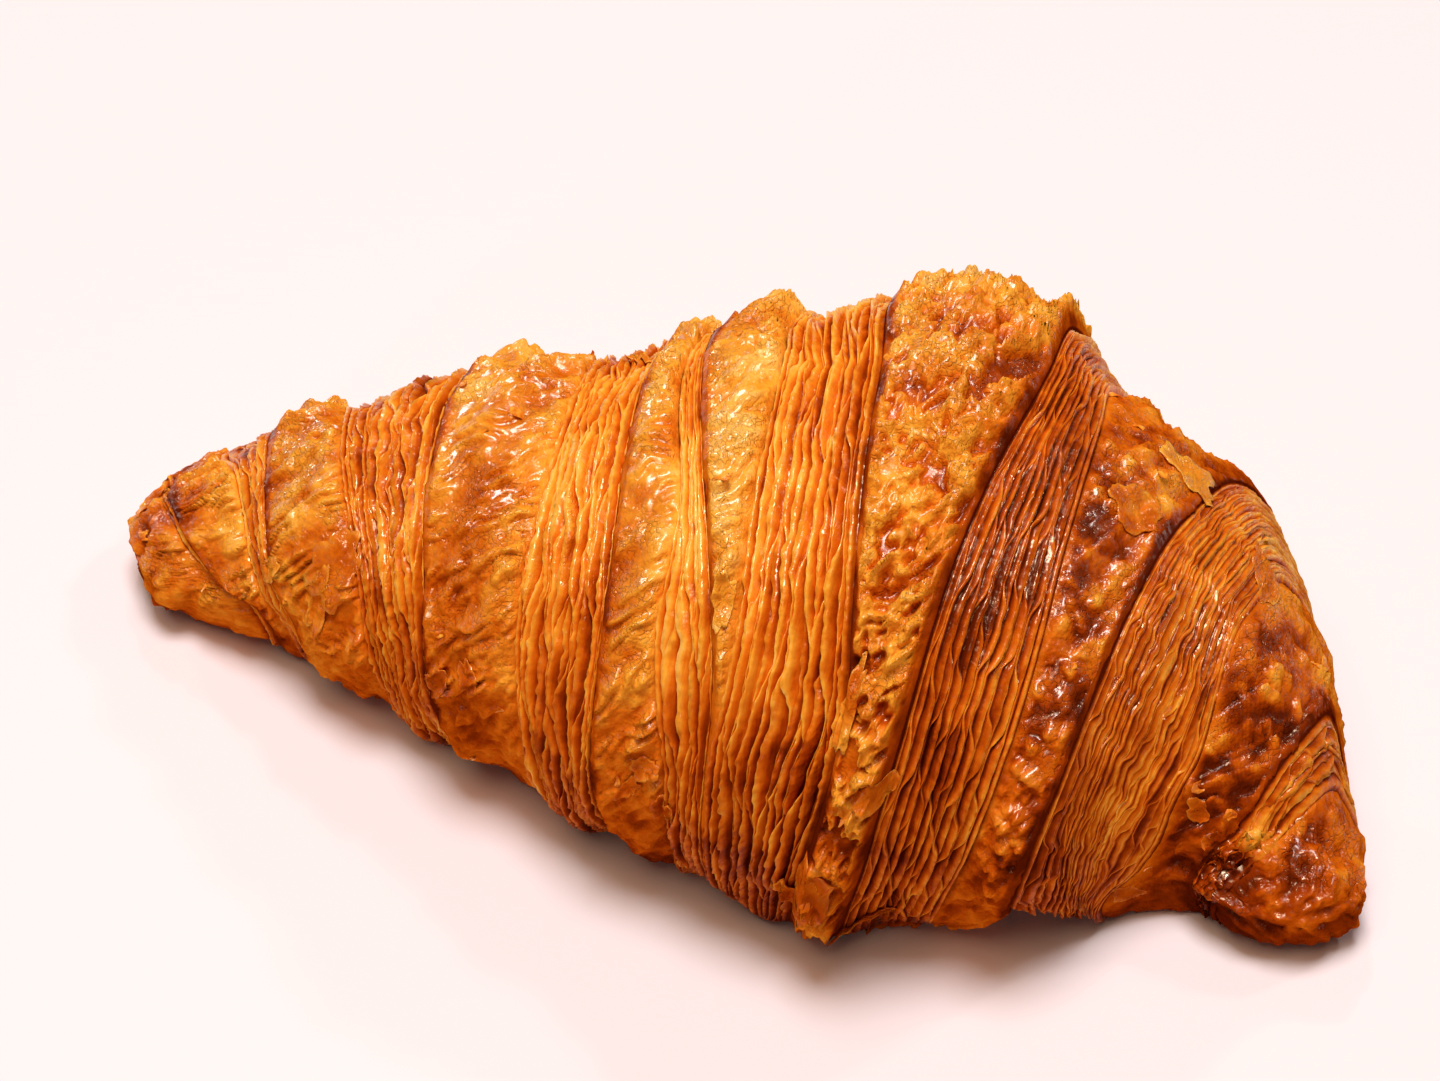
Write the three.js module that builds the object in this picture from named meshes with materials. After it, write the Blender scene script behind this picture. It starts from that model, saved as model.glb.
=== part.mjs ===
// A butter croissant, baked and whole: one solid, in millimetres, +Z up.
// The spine runs along X, with the long tapering end at -X and the short hooked end at +X.
// The hooked end turns towards -Y, which is the front. The underside lies on Z = 0.
//
// A long triangle of layered dough is rolled up from its base to its tip. Its tip, the tail,
// ends low on the front of the thickest part. From there both edges of the triangle run
// round and round the roll and outwards to the two ends, so each side shows a row of steps:
// a browned skin, its lip, the layered cut edge of the sheet below the lip, the next skin.
// Each row of the mesh follows one of those edges, so every lip stays sharp.
import * as THREE from "three";

// Main sizes. Places along the spine count from the thickest part, minus to the left.
const LEFT_REACH = 96.4;
const RIGHT_REACH = 71.4;
const LEFT_TAPER = 101.3; // the length over which the left side thins
const RIGHT_TAPER = 63.4;
const THICKEST_RADIUS = 38.2;
const LEFT_END_RADIUS = 6.5;
const RIGHT_END_RADIUS = 10.7;
const LEFT_TAPER_POWER = 1.07; // 1 is a straight cone, and more is rounder
const RIGHT_TAPER_POWER = 2.19;
const WIDTH_SHARE = 1.06; // the section is a little wider than it is high
const HEIGHT_SHARE = 0.94;
const LEFT_CAP = 8; // length of the rounded left end
const RIGHT_CAP = 12;

// The hook of the right end, the slight bend of the left one, and the way the roll lies
const HOOK_DEGREES = 56.8;
const HOOK_START = 35.6;
const HOOK_END = 69.9;
const HOOK_SKEW = 3.85; // the outer side of the hooked end reaches on by this much
const HOOK_SKEW_START = 54;
const HOOK_SKEW_LENGTH = 14;
const LEFT_BEND_DEGREES = 6.4;
const LEFT_BEND_START = 55;
const LEFT_BEND_LENGTH = 40;
const SIT = 0.73; // height of the spine as a share of the section's half height
const ARCH_HEIGHT = 4.2; // the short side arches off the tray
const ARCH_PLACE = 30;
const ARCH_LENGTH = 16.6;
const PRESS_SOFTNESS = 1.0; // rounding where the dough meets the tray
const PRESS_DEPTH = 0.14;

// The two edges of the rolled sheet: [degrees rolled since the tail, place along the spine].
// The tail lies at TAIL_ANGLE, where 0 is the front and 90 is the top.
const TAIL_ANGLE = -45;
const TURN = 360;
const LEFT_EDGE = [
  [0, 6.8], [45, 12.6], [67, 14.2], [84, 13.4], [141, 4.5], [166, 0.1], [250, -2.2],
  [360, -2.6], [436, -2.6], [495, -16.7], [516, -20], [600, -19.4],
  [730, -16.7], [795, -17.7], [866, -26.1], [960, -33.5],
  [1097, -41], [1153, -44.3], [1218, -51.7], [1340, -58.5],
  [1471, -63.6], [1521, -70.5], [1600, -78.2], [1700, -76.5],
  [1800, -71], [1846, -72], [1867, -81], [1930, -91], [2160, -93.4],
];
const RIGHT_EDGE = [
  [0, 12.4], [38, 17.9], [71, 20.6], [111, 21.7], [150, 22.4], [180, 20.8], [250, 25],
  [368, 32.5], [403, 35.5], [439, 39.2], [508, 41.1], [546, 42], [620, 49],
  [720, 62.5], [761, 64.6], [809, 64.2], [840, 62.1], [874, 57.9], [914, 55.3], [1000, 60], [1080, 65],
];
// Width of the layered cut edge below each lip, at the same angles
const LEFT_CUT = [
  [0, 9], [45, 14.6], [88, 13.8], [137, 12.3], [165, 11.7], [300, 6],
  [405, 5.4], [438, 8], [470, 3.6], [600, 3],
  [740, 10], [790, 12.7], [870, 9.4], [1126, 9.4], [1252, 15.9], [1340, 12],
  [1440, 5], [1560, 4.6], [1611, 7.5], [1700, 5], [1800, 1.2],
];
const RIGHT_CUT = [
  [0, 10.6], [95, 10.8], [167, 6.8], [260, 9],
  [372, 16.7], [403, 21.8], [462, 16.4], [510, 7.8], [640, 4], [720, 3], [900, 4], [1080, 1.5],
];
const LEFT_TURNS = 6;
const RIGHT_TURNS = 3;
const LEAST_SKIN = 0.6; // a skin that the cut edge has all but covered

// Relief
const LEFT_BULGE = [1.4, 1.4, 1.4, 1.4, 1.4, 1.4]; // how far each skin swells, by turn
const RIGHT_BULGE = [0.8, 0.9, 1.1];
const TAIL_BAND_BULGE = 2.5;
const LIP_HEIGHT = 0.9;
const LIP_DROP = 0.5;
const LIP_RUN = 0.35;
const STEP_FOOT = 2.6;
const FOOT_DROP = 1.0; // the lowest leaf overhangs the next skin by this much
const TRAY_SHALLOWING = 0.9; // steps nearly vanish low on the front
const TRAY_SPREAD = 38;
const LIP_NEEDS_SKIN = 5; // a lip stands up in full above this much skin
const LEAF_HEIGHT = 0.34; // the leaves of dough in a cut edge
const TAIL_RISE = 22; // degrees over which the tail's tip rises off the roll
const FULL_RELIEF_RADIUS = 30; // relief fades on a thinner section
const LEAST_RELIEF = 0.35;
// Slow swellings: height, waves along in radians for each mm, waves round, phase
const SWELLINGS = [
  [0.55, 0.21, 2, 0.6],
  [0.45, 0.34, -3, 2.1],
  [0.35, 0.52, 5, 4.0],
  [0.3, -0.71, 4, 1.2],
];
// Single swells and dents: height, place along, angle round, length, spread in degrees
const SWELLS = [
  [-2.2, -90, 100, 6, 60], [2.2, -60, 100, 12, 60], [-1, -32, 100, 14, 60], [-1.5, 0, 105, 5, 50],
  [1.2, 27, 125, 6, 50], [-0.9, 36, 135, 6, 50], [2.1, 45, 145, 6, 50], [-1.2, 57, 150, 11, 45],
  [2.6, 45.5, 178, 5, 28], [-1.7, 56, 168, 5, 35], [1.4, 67, -165, 5, 35], [1.2, -89, -20, 5, 50],
  [-1.5, -62, -30, 28, 45], [0.9, 2, -35, 6, 40], [-1.4, 40, -30, 8, 40], [-1.7, 60, -20, 6, 50],
];

// The mesh: columns round the roll, and rows for each turn of the sheet
const COLUMNS = 46;
const CUT_ROWS = 6;
const SKIN_SHARES = [0.25, 0.5, 0.8];
const BAND_ROWS = 8;
const LEFT_END_SHARES = [0.3, 0.6, 0.85, 0.97];
const RIGHT_END_SHARES = [0.3, 0.55, 0.75, 0.88, 0.97];
const SPINE_STEPS = 680;

const radians = THREE.MathUtils.degToRad;
const clamp = THREE.MathUtils.clamp;
const mix = THREE.MathUtils.lerp;

function ease(t) {
  const u = clamp(t, 0, 1);
  return u * u * (3 - 2 * u);
}

// A smooth curve through knots of [angle, value], level past its ends.
function along(knots, angle) {
  const last = knots.length - 1;
  if (angle <= knots[0][0]) return knots[0][1];
  if (angle >= knots[last][0]) return knots[last][1];
  let i = 0;
  while (knots[i + 1][0] <= angle) i += 1;
  const slope = (j) => {
    const a = knots[Math.max(j - 1, 0)];
    const b = knots[Math.min(j + 1, last)];
    return (b[1] - a[1]) / (b[0] - a[0]);
  };
  const span = knots[i + 1][0] - knots[i][0];
  const t = (angle - knots[i][0]) / span;
  return (
    knots[i][1] * (1 + 2 * t) * (1 - t) ** 2 +
    slope(i) * span * t * (1 - t) ** 2 +
    knots[i + 1][1] * t * t * (3 - 2 * t) +
    slope(i + 1) * span * t * t * (t - 1)
  );
}

// The spine's turn towards the front, in radians.
function heading(s) {
  const hook = HOOK_DEGREES * ease((s - HOOK_START) / (HOOK_END - HOOK_START));
  const bend = LEFT_BEND_DEGREES * ease((-s - LEFT_BEND_START) / LEFT_BEND_LENGTH);
  return radians(hook - bend);
}

// The spine in plan: places a step apart, from the left end.
function layOutSpine() {
  const step = (LEFT_REACH + RIGHT_REACH) / SPINE_STEPS;
  const places = [new THREE.Vector2(0, 0)];
  for (let i = 0; i < SPINE_STEPS; i += 1) {
    const turn = heading(-LEFT_REACH + (i + 0.5) * step);
    const next = new THREE.Vector2(Math.cos(turn), -Math.sin(turn)).multiplyScalar(step);
    places.push(next.add(places[i]));
  }
  return { step, places };
}

const spine = layOutSpine();

function spineAt(s) {
  const at = clamp((s + LEFT_REACH) / spine.step, 0, SPINE_STEPS - 1e-6);
  const i = Math.floor(at);
  return spine.places[i].clone().lerp(spine.places[i + 1], at - i);
}

// The section's mean radius, before relief.
function radiusAt(s) {
  const left = s < 0;
  const share = clamp(left ? -s / LEFT_TAPER : s / RIGHT_TAPER, 0, 1);
  const end = left ? LEFT_END_RADIUS : RIGHT_END_RADIUS;
  const power = left ? LEFT_TAPER_POWER : RIGHT_TAPER_POWER;
  return end + (THICKEST_RADIUS - end) * (1 - share ** power);
}

// 1 along the roll, down to 0 at the closed ends.
function capAt(s) {
  const left = clamp((LEFT_CAP - LEFT_REACH - s) / LEFT_CAP, 0, 1);
  const right = clamp((s - RIGHT_REACH + RIGHT_CAP) / RIGHT_CAP, 0, 1);
  return Math.sqrt(1 - left ** 2.2) * Math.sqrt(1 - right ** 1.8);
}

// The two sides of the sheet: which way they run, their edges, cuts, bulges and turns.
const LEFT = {
  sign: -1, reach: LEFT_REACH, edge: LEFT_EDGE, cut: LEFT_CUT, bulge: LEFT_BULGE, turns: LEFT_TURNS,
  endShares: LEFT_END_SHARES,
};
const RIGHT = {
  sign: 1, reach: RIGHT_REACH, edge: RIGHT_EDGE, cut: RIGHT_CUT, bulge: RIGHT_BULGE, turns: RIGHT_TURNS,
  endShares: RIGHT_END_SHARES,
};

// How fully a lip stands up: not at all where the sheet before it shows no skin.
function lipStrength(side, angle) {
  if (angle < TURN) return 1;
  const gap = side.sign * (along(side.edge, angle) - along(side.edge, angle - TURN));
  return ease((gap - along(side.cut, angle - TURN)) / LIP_NEEDS_SKIN);
}

// Depth of the steps' foot, less near the tray at the front.
function footAt(rolled) {
  const off = ((rolled + 180) % TURN) - 180;
  return STEP_FOOT * (1 - TRAY_SHALLOWING * Math.exp(-((off / TRAY_SPREAD) ** 2)));
}

// Height of the last band of the sheet, between its two lips.
function bandHeight(s, angle) {
  const inward = Math.min(s - along(LEFT_EDGE, angle), along(RIGHT_EDGE, angle) - s);
  return TAIL_BAND_BULGE - (TAIL_BAND_BULGE - LIP_HEIGHT - 0.5) * Math.exp(-Math.max(inward, 0) / 3.2);
}

// The rows of one turn, from its lip outwards, as [place, height].
function turnRows(side, turn, rolled) {
  const angle = rolled + turn * TURN;
  const last = turn === side.turns - 1;
  const lip = along(side.edge, angle);
  const next = last ? side.sign * side.reach : along(side.edge, angle + TURN);
  const gap = side.sign * (next - lip);
  const cut = Math.min(along(side.cut, angle), gap - LEAST_SKIN);
  const foot = footAt(rolled);
  const strength = lipStrength(side, angle);
  const nextStrength = last ? 1 : lipStrength(side, angle + TURN);
  const lipTop = mix(-foot, LIP_HEIGHT, strength);
  const lipFoot = lipTop - LIP_DROP * strength;
  const cutFoot = -foot + FOOT_DROP * nextStrength;
  const rows = [];
  if (turn > 0) rows.push([0, lipTop]);
  rows.push([LIP_RUN, lipFoot]);
  for (let i = 1; i <= CUT_ROWS; i += 1) {
    const share = i / CUT_ROWS;
    const leaf = i === CUT_ROWS ? 0 : LEAF_HEIGHT * Math.min(cut / 8, 1) * (i % 2 ? -1 : 1);
    rows.push([mix(LIP_RUN, cut, share), mix(lipFoot, cutFoot, share) + leaf]);
  }
  rows.push([cut + Math.min(LIP_RUN, (gap - cut) / 4), -foot]);
  const top = mix(-foot, side.bulge[turn], nextStrength);
  const end = last ? side.bulge[turn] : mix(-foot, LIP_HEIGHT, nextStrength);
  for (const share of last ? side.endShares : SKIN_SHARES) {
    const height = -foot + (top + foot) * (1 - (1 - share) ** 2.4) - (top - end) * share ** 4;
    rows.push([mix(cut, gap, share), height]);
  }
  return rows.map(([out, height]) => ({ s: lip + side.sign * out, height }));
}

function bandRows(rolled) {
  const left = along(LEFT_EDGE, rolled);
  const right = along(RIGHT_EDGE, rolled);
  const rows = [];
  for (let i = 0; i <= BAND_ROWS; i += 1) {
    const s = mix(left, right, i / BAND_ROWS);
    rows.push({ s, height: bandHeight(s, rolled) });
  }
  return rows;
}

function swelling(s, degrees) {
  let height = 0;
  for (const [size, waves, round, phase] of SWELLINGS) {
    height += size * Math.sin(waves * s + radians(round * degrees) + phase);
  }
  return height * clamp(radiusAt(s) / FULL_RELIEF_RADIUS, 0.3, 1);
}

function swellsAt(s, degrees) {
  let height = 0;
  for (const [size, place, face, length, spread] of SWELLS) {
    const round = THREE.MathUtils.euclideanModulo(degrees - face + 180, TURN) - 180;
    height += size * Math.exp(-(((s - place) / length) ** 2) - (round / spread) ** 2);
  }
  return height;
}

// A point of the crust, at a place along the spine and an angle round it in degrees.
function crustPoint(s, degrees, relief) {
  const angle = radians(degrees);
  const radius = radiusAt(s);
  const raised =
    relief * clamp(radius / FULL_RELIEF_RADIUS, LEAST_RELIEF, 1) + swelling(s, degrees) + swellsAt(s, degrees);
  const cap = capAt(s);
  const across = (radius * WIDTH_SHARE + raised) * cap * Math.cos(angle);
  const up = (radius * HEIGHT_SHARE + raised) * cap * Math.sin(angle);
  const arch = ARCH_HEIGHT * Math.exp(-(((s - ARCH_PLACE) / ARCH_LENGTH) ** 2));
  const height = radius * HEIGHT_SHARE * SIT + arch + up;
  const pressed = 0.5 * (height + Math.hypot(height, PRESS_SOFTNESS)) - PRESS_DEPTH;
  const turn = heading(s);
  const centre = spineAt(s);
  const skew = -HOOK_SKEW * Math.cos(angle) * ease((s - HOOK_SKEW_START) / HOOK_SKEW_LENGTH) * cap;
  return new THREE.Vector3(
    centre.x - across * Math.sin(turn) + skew * Math.cos(turn),
    centre.y - across * Math.cos(turn) - skew * Math.sin(turn),
    Math.max(pressed, 0),
  );
}

// One column of the mesh, from the left end to the right one.
function columnPoints(rolled) {
  const rows = [];
  for (let turn = 0; turn < LEFT_TURNS; turn += 1) {
    rows.unshift(...turnRows(LEFT, turn, rolled).reverse());
  }
  rows.push(...bandRows(rolled));
  for (let turn = 0; turn < RIGHT_TURNS; turn += 1) {
    rows.push(...turnRows(RIGHT, turn, rolled));
  }
  const risen = ease(rolled / TAIL_RISE);
  const left = along(LEFT_EDGE, rolled + TURN);
  const right = along(RIGHT_EDGE, rolled + TURN);
  return rows.map(({ s, height }) => {
    const below = s > left && s < right ? bandHeight(s, rolled + TURN) : height;
    return crustPoint(s, rolled + TAIL_ANGLE, mix(below, height, risen));
  });
}

// All columns, joined row by row, and closed by one point at each end.
function crustGeometry() {
  const columns = [];
  for (let i = 0; i < COLUMNS; i += 1) {
    columns.push(columnPoints((TURN * i) / COLUMNS));
  }
  const rows = columns[0].length;
  const points = columns.flat();
  const leftEnd = points.push(crustPoint(-LEFT_REACH, 0, 0)) - 1;
  const rightEnd = points.push(crustPoint(RIGHT_REACH, 0, 0)) - 1;
  const faces = [];
  for (let i = 0; i < COLUMNS; i += 1) {
    const here = i * rows;
    const next = ((i + 1) % COLUMNS) * rows;
    faces.push(leftEnd, here, next);
    faces.push(rightEnd, next + rows - 1, here + rows - 1);
    let a = 0;
    let b = 0;
    while (a < rows - 1 || b < rows - 1) {
      if (i < COLUMNS - 1) {
        faces.push(here + a, next + a + 1, next + a, here + a, here + a + 1, next + a + 1);
        a += 1;
        b += 1;
        continue;
      }
      // At the tail each row meets the row of the next turn, so the nearest points join up.
      const onA = a < rows - 1 ? points[here + a + 1].distanceTo(points[next + b]) : Infinity;
      const onB = b < rows - 1 ? points[here + a].distanceTo(points[next + b + 1]) : Infinity;
      if (onA < onB) {
        faces.push(here + a, here + a + 1, next + b);
        a += 1;
      } else {
        faces.push(here + a, next + b + 1, next + b);
        b += 1;
      }
    }
  }
  const geometry = new THREE.BufferGeometry().setFromPoints(points);
  geometry.setIndex(faces);
  // The origin goes under the middle of the croissant.
  geometry.computeBoundingBox();
  const middle = geometry.boundingBox.getCenter(new THREE.Vector3());
  geometry.translate(-middle.x, -middle.y, 0);
  geometry.computeVertexNormals();
  return geometry;
}

const crustMaterial = new THREE.MeshStandardMaterial({
  color: new THREE.Color(0.72, 0.36, 0.1),
  roughness: 0.42,
  metalness: 0,
});

const croissant = new THREE.Mesh(crustGeometry(), crustMaterial);
croissant.name = "croissant";

const part = new THREE.Group();
part.add(croissant);

export default part;
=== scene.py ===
# The looks of the butter croissant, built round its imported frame.
# Its form is worked out in millimetres, and turned into metres where a mesh is made.
import math

import bpy
import numpy as np
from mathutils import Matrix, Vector
from mathutils.bvhtree import BVHTree


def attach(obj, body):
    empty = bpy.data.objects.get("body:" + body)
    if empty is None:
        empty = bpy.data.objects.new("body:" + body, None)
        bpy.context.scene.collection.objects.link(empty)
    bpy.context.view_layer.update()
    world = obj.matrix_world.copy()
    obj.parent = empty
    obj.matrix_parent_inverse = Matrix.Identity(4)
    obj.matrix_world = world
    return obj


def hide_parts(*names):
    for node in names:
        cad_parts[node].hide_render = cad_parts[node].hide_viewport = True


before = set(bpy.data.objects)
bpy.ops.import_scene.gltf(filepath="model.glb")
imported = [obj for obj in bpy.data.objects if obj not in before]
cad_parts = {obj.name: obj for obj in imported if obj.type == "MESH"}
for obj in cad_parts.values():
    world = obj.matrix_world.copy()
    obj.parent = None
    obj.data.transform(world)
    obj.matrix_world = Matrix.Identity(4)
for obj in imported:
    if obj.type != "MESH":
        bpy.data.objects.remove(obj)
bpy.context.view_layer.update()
mm = 0.001  # a millimetre in metres
perMetre = 1000.0  # millimetres in a metre
turn = 360  # degrees

# The form of the roll, by the same rules as the CAD part
leftReach, rightReach = 96.4, 71.4  # along the spine, from its middle to each end
leftTaper, rightTaper = 101.3, 63.4
thickestRadius, leftEndRadius, rightEndRadius = 38.2, 6.5, 10.7
leftPower, rightPower = 1.07, 2.19
widthShare, heightShare = 1.06, 0.94
leftCap, rightCap = 8, 12
leftCapPower, rightCapPower = 2.2, 1.8
hookDegrees, hookStart, hookEnd = 56.8, 35.6, 69.9
hookSkew, hookSkewStart, hookSkewLength = 3.85, 54, 14
bendDegrees, bendStart, bendLength = 6.4, 55, 40
sit = 0.73  # height of the spine over the floor, as a share of the upright radius
archHeight, archPlace, archLength = 4.2, 30, 16.6
pressSoftness, pressDepth = 1.0, 0.14
spineStart = (-83.995, -3.474)  # the left end in plan
spineSteps = 680
tailAngle = -45  # degrees round at which the rolling ends

# Edges of the rolled sheet: degrees rolled since the tail, place along the spine
leftEdge = [
    (0, 6.8), (45, 12.6), (67, 14.2), (84, 13.4), (141, 4.5), (166, 0.1), (250, -2.2),
    (360, -2.6), (436, -2.6), (495, -16.7), (516, -20), (600, -19.4),
    (730, -16.7), (795, -17.7), (866, -26.1), (960, -33.5),
    (1097, -41), (1153, -44.3), (1218, -51.7), (1340, -58.5),
    (1471, -63.6), (1521, -70.5), (1600, -78.2), (1700, -76.5),
    (1800, -71), (1846, -72), (1867, -81), (1930, -91), (2160, -93.4),
]
rightEdge = [
    (0, 12.4), (38, 17.9), (71, 20.6), (111, 21.7), (150, 22.4), (180, 20.8), (250, 25),
    (368, 32.5), (403, 35.5), (439, 39.2), (508, 41.1), (546, 42), (620, 49),
    (720, 62.5), (761, 64.6), (809, 64.2), (840, 62.1), (874, 57.9), (914, 55.3), (1000, 60), (1080, 65),
]
# Width of the cut face below each edge: degrees rolled, millimetres
leftCut = [
    (0, 9), (45, 14.6), (88, 13.8), (137, 12.3), (165, 11.7), (300, 6),
    (405, 5.4), (438, 8), (470, 3.6), (600, 3),
    (740, 10), (790, 12.7), (870, 9.4), (1126, 9.4), (1252, 15.9), (1340, 12),
    (1440, 5), (1560, 4.6), (1611, 7.5), (1700, 5), (1800, 1.2),
]
rightCut = [
    (0, 10.6), (95, 10.8), (167, 6.8), (260, 9),
    (372, 16.7), (403, 21.8), (462, 16.4), (510, 7.8), (640, 4), (720, 3), (900, 4), (1080, 1.5),
]
# Waves of the whole crust: size, radians to a millimetre along, waves round, phase
swellings = [(0.55, 0.21, 2, 0.6), (0.45, 0.34, -3, 2.1), (0.35, 0.52, 5, 4.0), (0.3, -0.71, 4, 1.2)]
leastWaves = 0.3
# Swells and hollows in one place: size, place along, degrees round, length, spread in degrees
swells = [
    (-2.2, -90, 100, 6, 60), (2.2, -60, 100, 12, 60), (-1, -32, 100, 14, 60), (-1.5, 0, 105, 5, 50),
    (1.2, 27, 125, 6, 50), (-0.9, 36, 135, 6, 50), (2.1, 45, 145, 6, 50), (-1.2, 57, 150, 11, 45),
    (2.6, 45.5, 178, 5, 28), (-1.7, 56, 168, 5, 35), (1.4, 67, -165, 5, 35), (1.2, -89, -20, 5, 50),
    (-1.5, -62, -30, 28, 45), (0.9, 2, -35, 6, 40), (-1.4, 40, -30, 8, 40), (-1.7, 60, -20, 6, 50),
]
pointedNub = [(3.2, 68, 206, 3.5, 26), (-1.8, 69, 110, 4, 45), (-1.2, 67.5, -60, 4, 40)]
lipHeight, lipDrop, lipRun = 0.9, 0.5, 0.35
lipGlow, lipFade, footFade = 0.7, 0.8, 1.6  # reach of a lip's browning, and of the skin's fading out
lipCurl, curlReach = 0.28, 0.5
lipFray, lipNicks = 0.14, 0.09
skinFullness, skinFall = 2.4, 4  # how soon a skin rises from its foot, and how late it falls to the next lip
lastCrowding, lastShare = 1.6, 0.992  # rows of the last skin stand closer towards the end of the roll
stepFoot, footDrop = 2.6, 1.0
trayShallowing, traySpread = 0.9, 38
lipNeedsSkin, leastSkin = 5, 0.6
bandBulge, bandShoulder, bandRound, tailRise = 2.5, 0.5, 3.2, 22
fullReliefRadius, leastRelief = 30, 0.35

# The seven pieces that show the crust, cut along its lips, and the one that holds the band
pieceNames = ["crustLeftEnd", "crustLeftOuter", "crustLeftMiddle", "crustBand",
              "crustRightInner", "crustRightOuter", "crustRightEnd"]
bandPiece = pieceNames.index("crustBand")

# One entry for each turn, from the band outwards: its piece, its bulge, the leaves of its cut face and
# the rows of its skin. Then for the side: slab rise, sway, blades to a turn, gape, depth and nicks.
left = dict(sign=-1, reach=leftReach, edge=leftEdge, cut=leftCut,
            pieces=[3, 2, 2, 1, 0, 0], bulge=[1.4] * 6,
            leaves=[20, 10, 18, 20, 8, 3], skinRows=[34, 26, 40, 32, 20, 26],
            slab=1.3, sway=0.7, blades=(4, 9), gape=1.4, depth=1.12, nicks=1.0)
right = dict(sign=1, reach=rightReach, edge=rightEdge, cut=rightCut,
             pieces=[4, 5, 6], bulge=[0.8, 0.9, 1.1],
             leaves=[20, 30, 8], skinRows=[36, 30, 44],
             slab=0.9, sway=0.12, blades=(7, 14), gape=0.5, depth=0.72, nicks=0.35)
bandRows = 70

# Leaves of the cut faces. A profile has rows of: share of the leaf's width, lift, painted shade of the
# groove, crest (which gets a painted highlight).
plainLeaf = [(0.05, -1.0, 1.0, 0.0), (0.5, -0.2, 0.45, 0.0), (1.0, 0.5, 0.0, 1.0)]
steppedLeaf = [(0.05, -1.0, 1.0, 0.0), (0.3, -0.5, 0.7, 0.0), (0.78, 0.2, 0.15, 0.1), (1.0, 0.5, 0.0, 1.0)]
gapingLeaf = [(0.03, -1.0, 1.0, 0.0), (0.14, -0.6, 0.75, 0.0), (0.35, -0.35, 0.45, 0.0),
              (0.6, -0.1, 0.25, 0.0), (0.85, 0.2, 0.0, 0.2), (1.0, 0.42, 0.0, 1.0)]
leaf = dict(widest=1.9,  # times the mean width
            fullDepthWidth=0.45, fullLevelWidth=0.5, slabFullWidth=1.6,
            endDepth=1.25, innerDepth=0.65, deepest=1.4, highest=0.6,
            endOverhang=0.2, innerOverhang=0.06, leastOverhang=-0.12, mostOverhang=0.45,
            level=0.12, flatUnderneath=0.35, sear=0.12)

# The columns: degrees rolled within a turn, closer together on the side that is seen most
frontColumns, backColumns, frontEnd = 405, 125, 195
rolled = np.concatenate([
    np.linspace(0, frontEnd, frontColumns, endpoint=False),
    np.linspace(frontEnd, turn, backColumns, endpoint=False),
])


def ease(t):
    u = np.clip(t, 0, 1)
    return u * u * (3 - 2 * u)


def mix(a, b, share):
    return a + (b - a) * share


# A smooth curve through knots, level past its ends
def along(knots, angle):
    x, y = np.array(knots, float).T
    before = np.maximum(np.arange(len(x)) - 1, 0)
    after = np.minimum(np.arange(len(x)) + 1, len(x) - 1)
    slope = (y[after] - y[before]) / (x[after] - x[before])
    at = np.clip(angle, x[0], x[-1])
    i = np.clip(np.searchsorted(x, at, side="right") - 1, 0, len(x) - 2)
    span = x[i + 1] - x[i]
    t = (at - x[i]) / span
    return (y[i] * (1 + 2 * t) * (1 - t) ** 2 + slope[i] * span * t * (1 - t) ** 2
            + y[i + 1] * t * t * (3 - 2 * t) + slope[i + 1] * span * t * t * (t - 1))


def heading(s):
    hook = hookDegrees * ease((s - hookStart) / (hookEnd - hookStart))
    return np.radians(hook - bendDegrees * ease((-s - bendStart) / bendLength))


spineStep = (leftReach + rightReach) / spineSteps
spineTurns = heading(-leftReach + (np.arange(spineSteps) + 0.5) * spineStep)
spineAt = np.linspace(-leftReach, rightReach, spineSteps + 1)
spineX = spineStart[0] + np.concatenate([[0], np.cumsum(np.cos(spineTurns) * spineStep)])
spineY = spineStart[1] - np.concatenate([[0], np.cumsum(np.sin(spineTurns) * spineStep)])


def radiusAt(s):
    share = np.clip(np.where(s < 0, -s / leftTaper, s / rightTaper), 0, 1)
    end = np.where(s < 0, leftEndRadius, rightEndRadius)
    return end + (thickestRadius - end) * (1 - share ** np.where(s < 0, leftPower, rightPower))


# How much of the section is left where the ends round off
def capAt(s):
    leftPart = np.clip((leftCap - leftReach - s) / leftCap, 0, 1)
    rightPart = np.clip((s - rightReach + rightCap) / rightCap, 0, 1)
    return np.sqrt(1 - leftPart ** leftCapPower) * np.sqrt(1 - rightPart ** rightCapPower)


# Sum of soft spots, each given as: size, place along, degrees round, length, spread in degrees
def spots(table, s, degrees):
    total = 0
    for size, place, face, length, spread in table:
        off = (degrees - face + 180) % turn - 180
        total = total + size * np.exp(-(((s - place) / length) ** 2) - (off / spread) ** 2)
    return total


# A point of the crust in millimetres, at a place along the spine and an angle round it
def crustPoint(s, degrees, relief, extra=0.0):
    angle = np.radians(degrees)
    radius = radiusAt(s)
    waves = sum(size * np.sin(k * s + lobes * angle + phase) for size, k, lobes, phase in swellings)
    raised = (relief * np.clip(radius / fullReliefRadius, leastRelief, 1)
              + waves * np.clip(radius / fullReliefRadius, leastWaves, 1)
              + spots(swells, s, degrees) + extra)
    cap = capAt(s)
    across = (radius * widthShare + raised) * cap * np.cos(angle)
    up = (radius * heightShare + raised) * cap * np.sin(angle)
    height = radius * heightShare * sit + archHeight * np.exp(-(((s - archPlace) / archLength) ** 2)) + up
    pressed = np.maximum(0.5 * (height + np.hypot(height, pressSoftness)) - pressDepth, 0)
    way = heading(s)
    skew = -hookSkew * np.cos(angle) * ease((s - hookSkewStart) / hookSkewLength) * cap
    x = np.interp(s, spineAt, spineX) - across * np.sin(way) + skew * np.cos(way)
    y = np.interp(s, spineAt, spineY) - across * np.cos(way) - skew * np.sin(way)
    return np.stack([x, y, pressed], -1)


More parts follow.
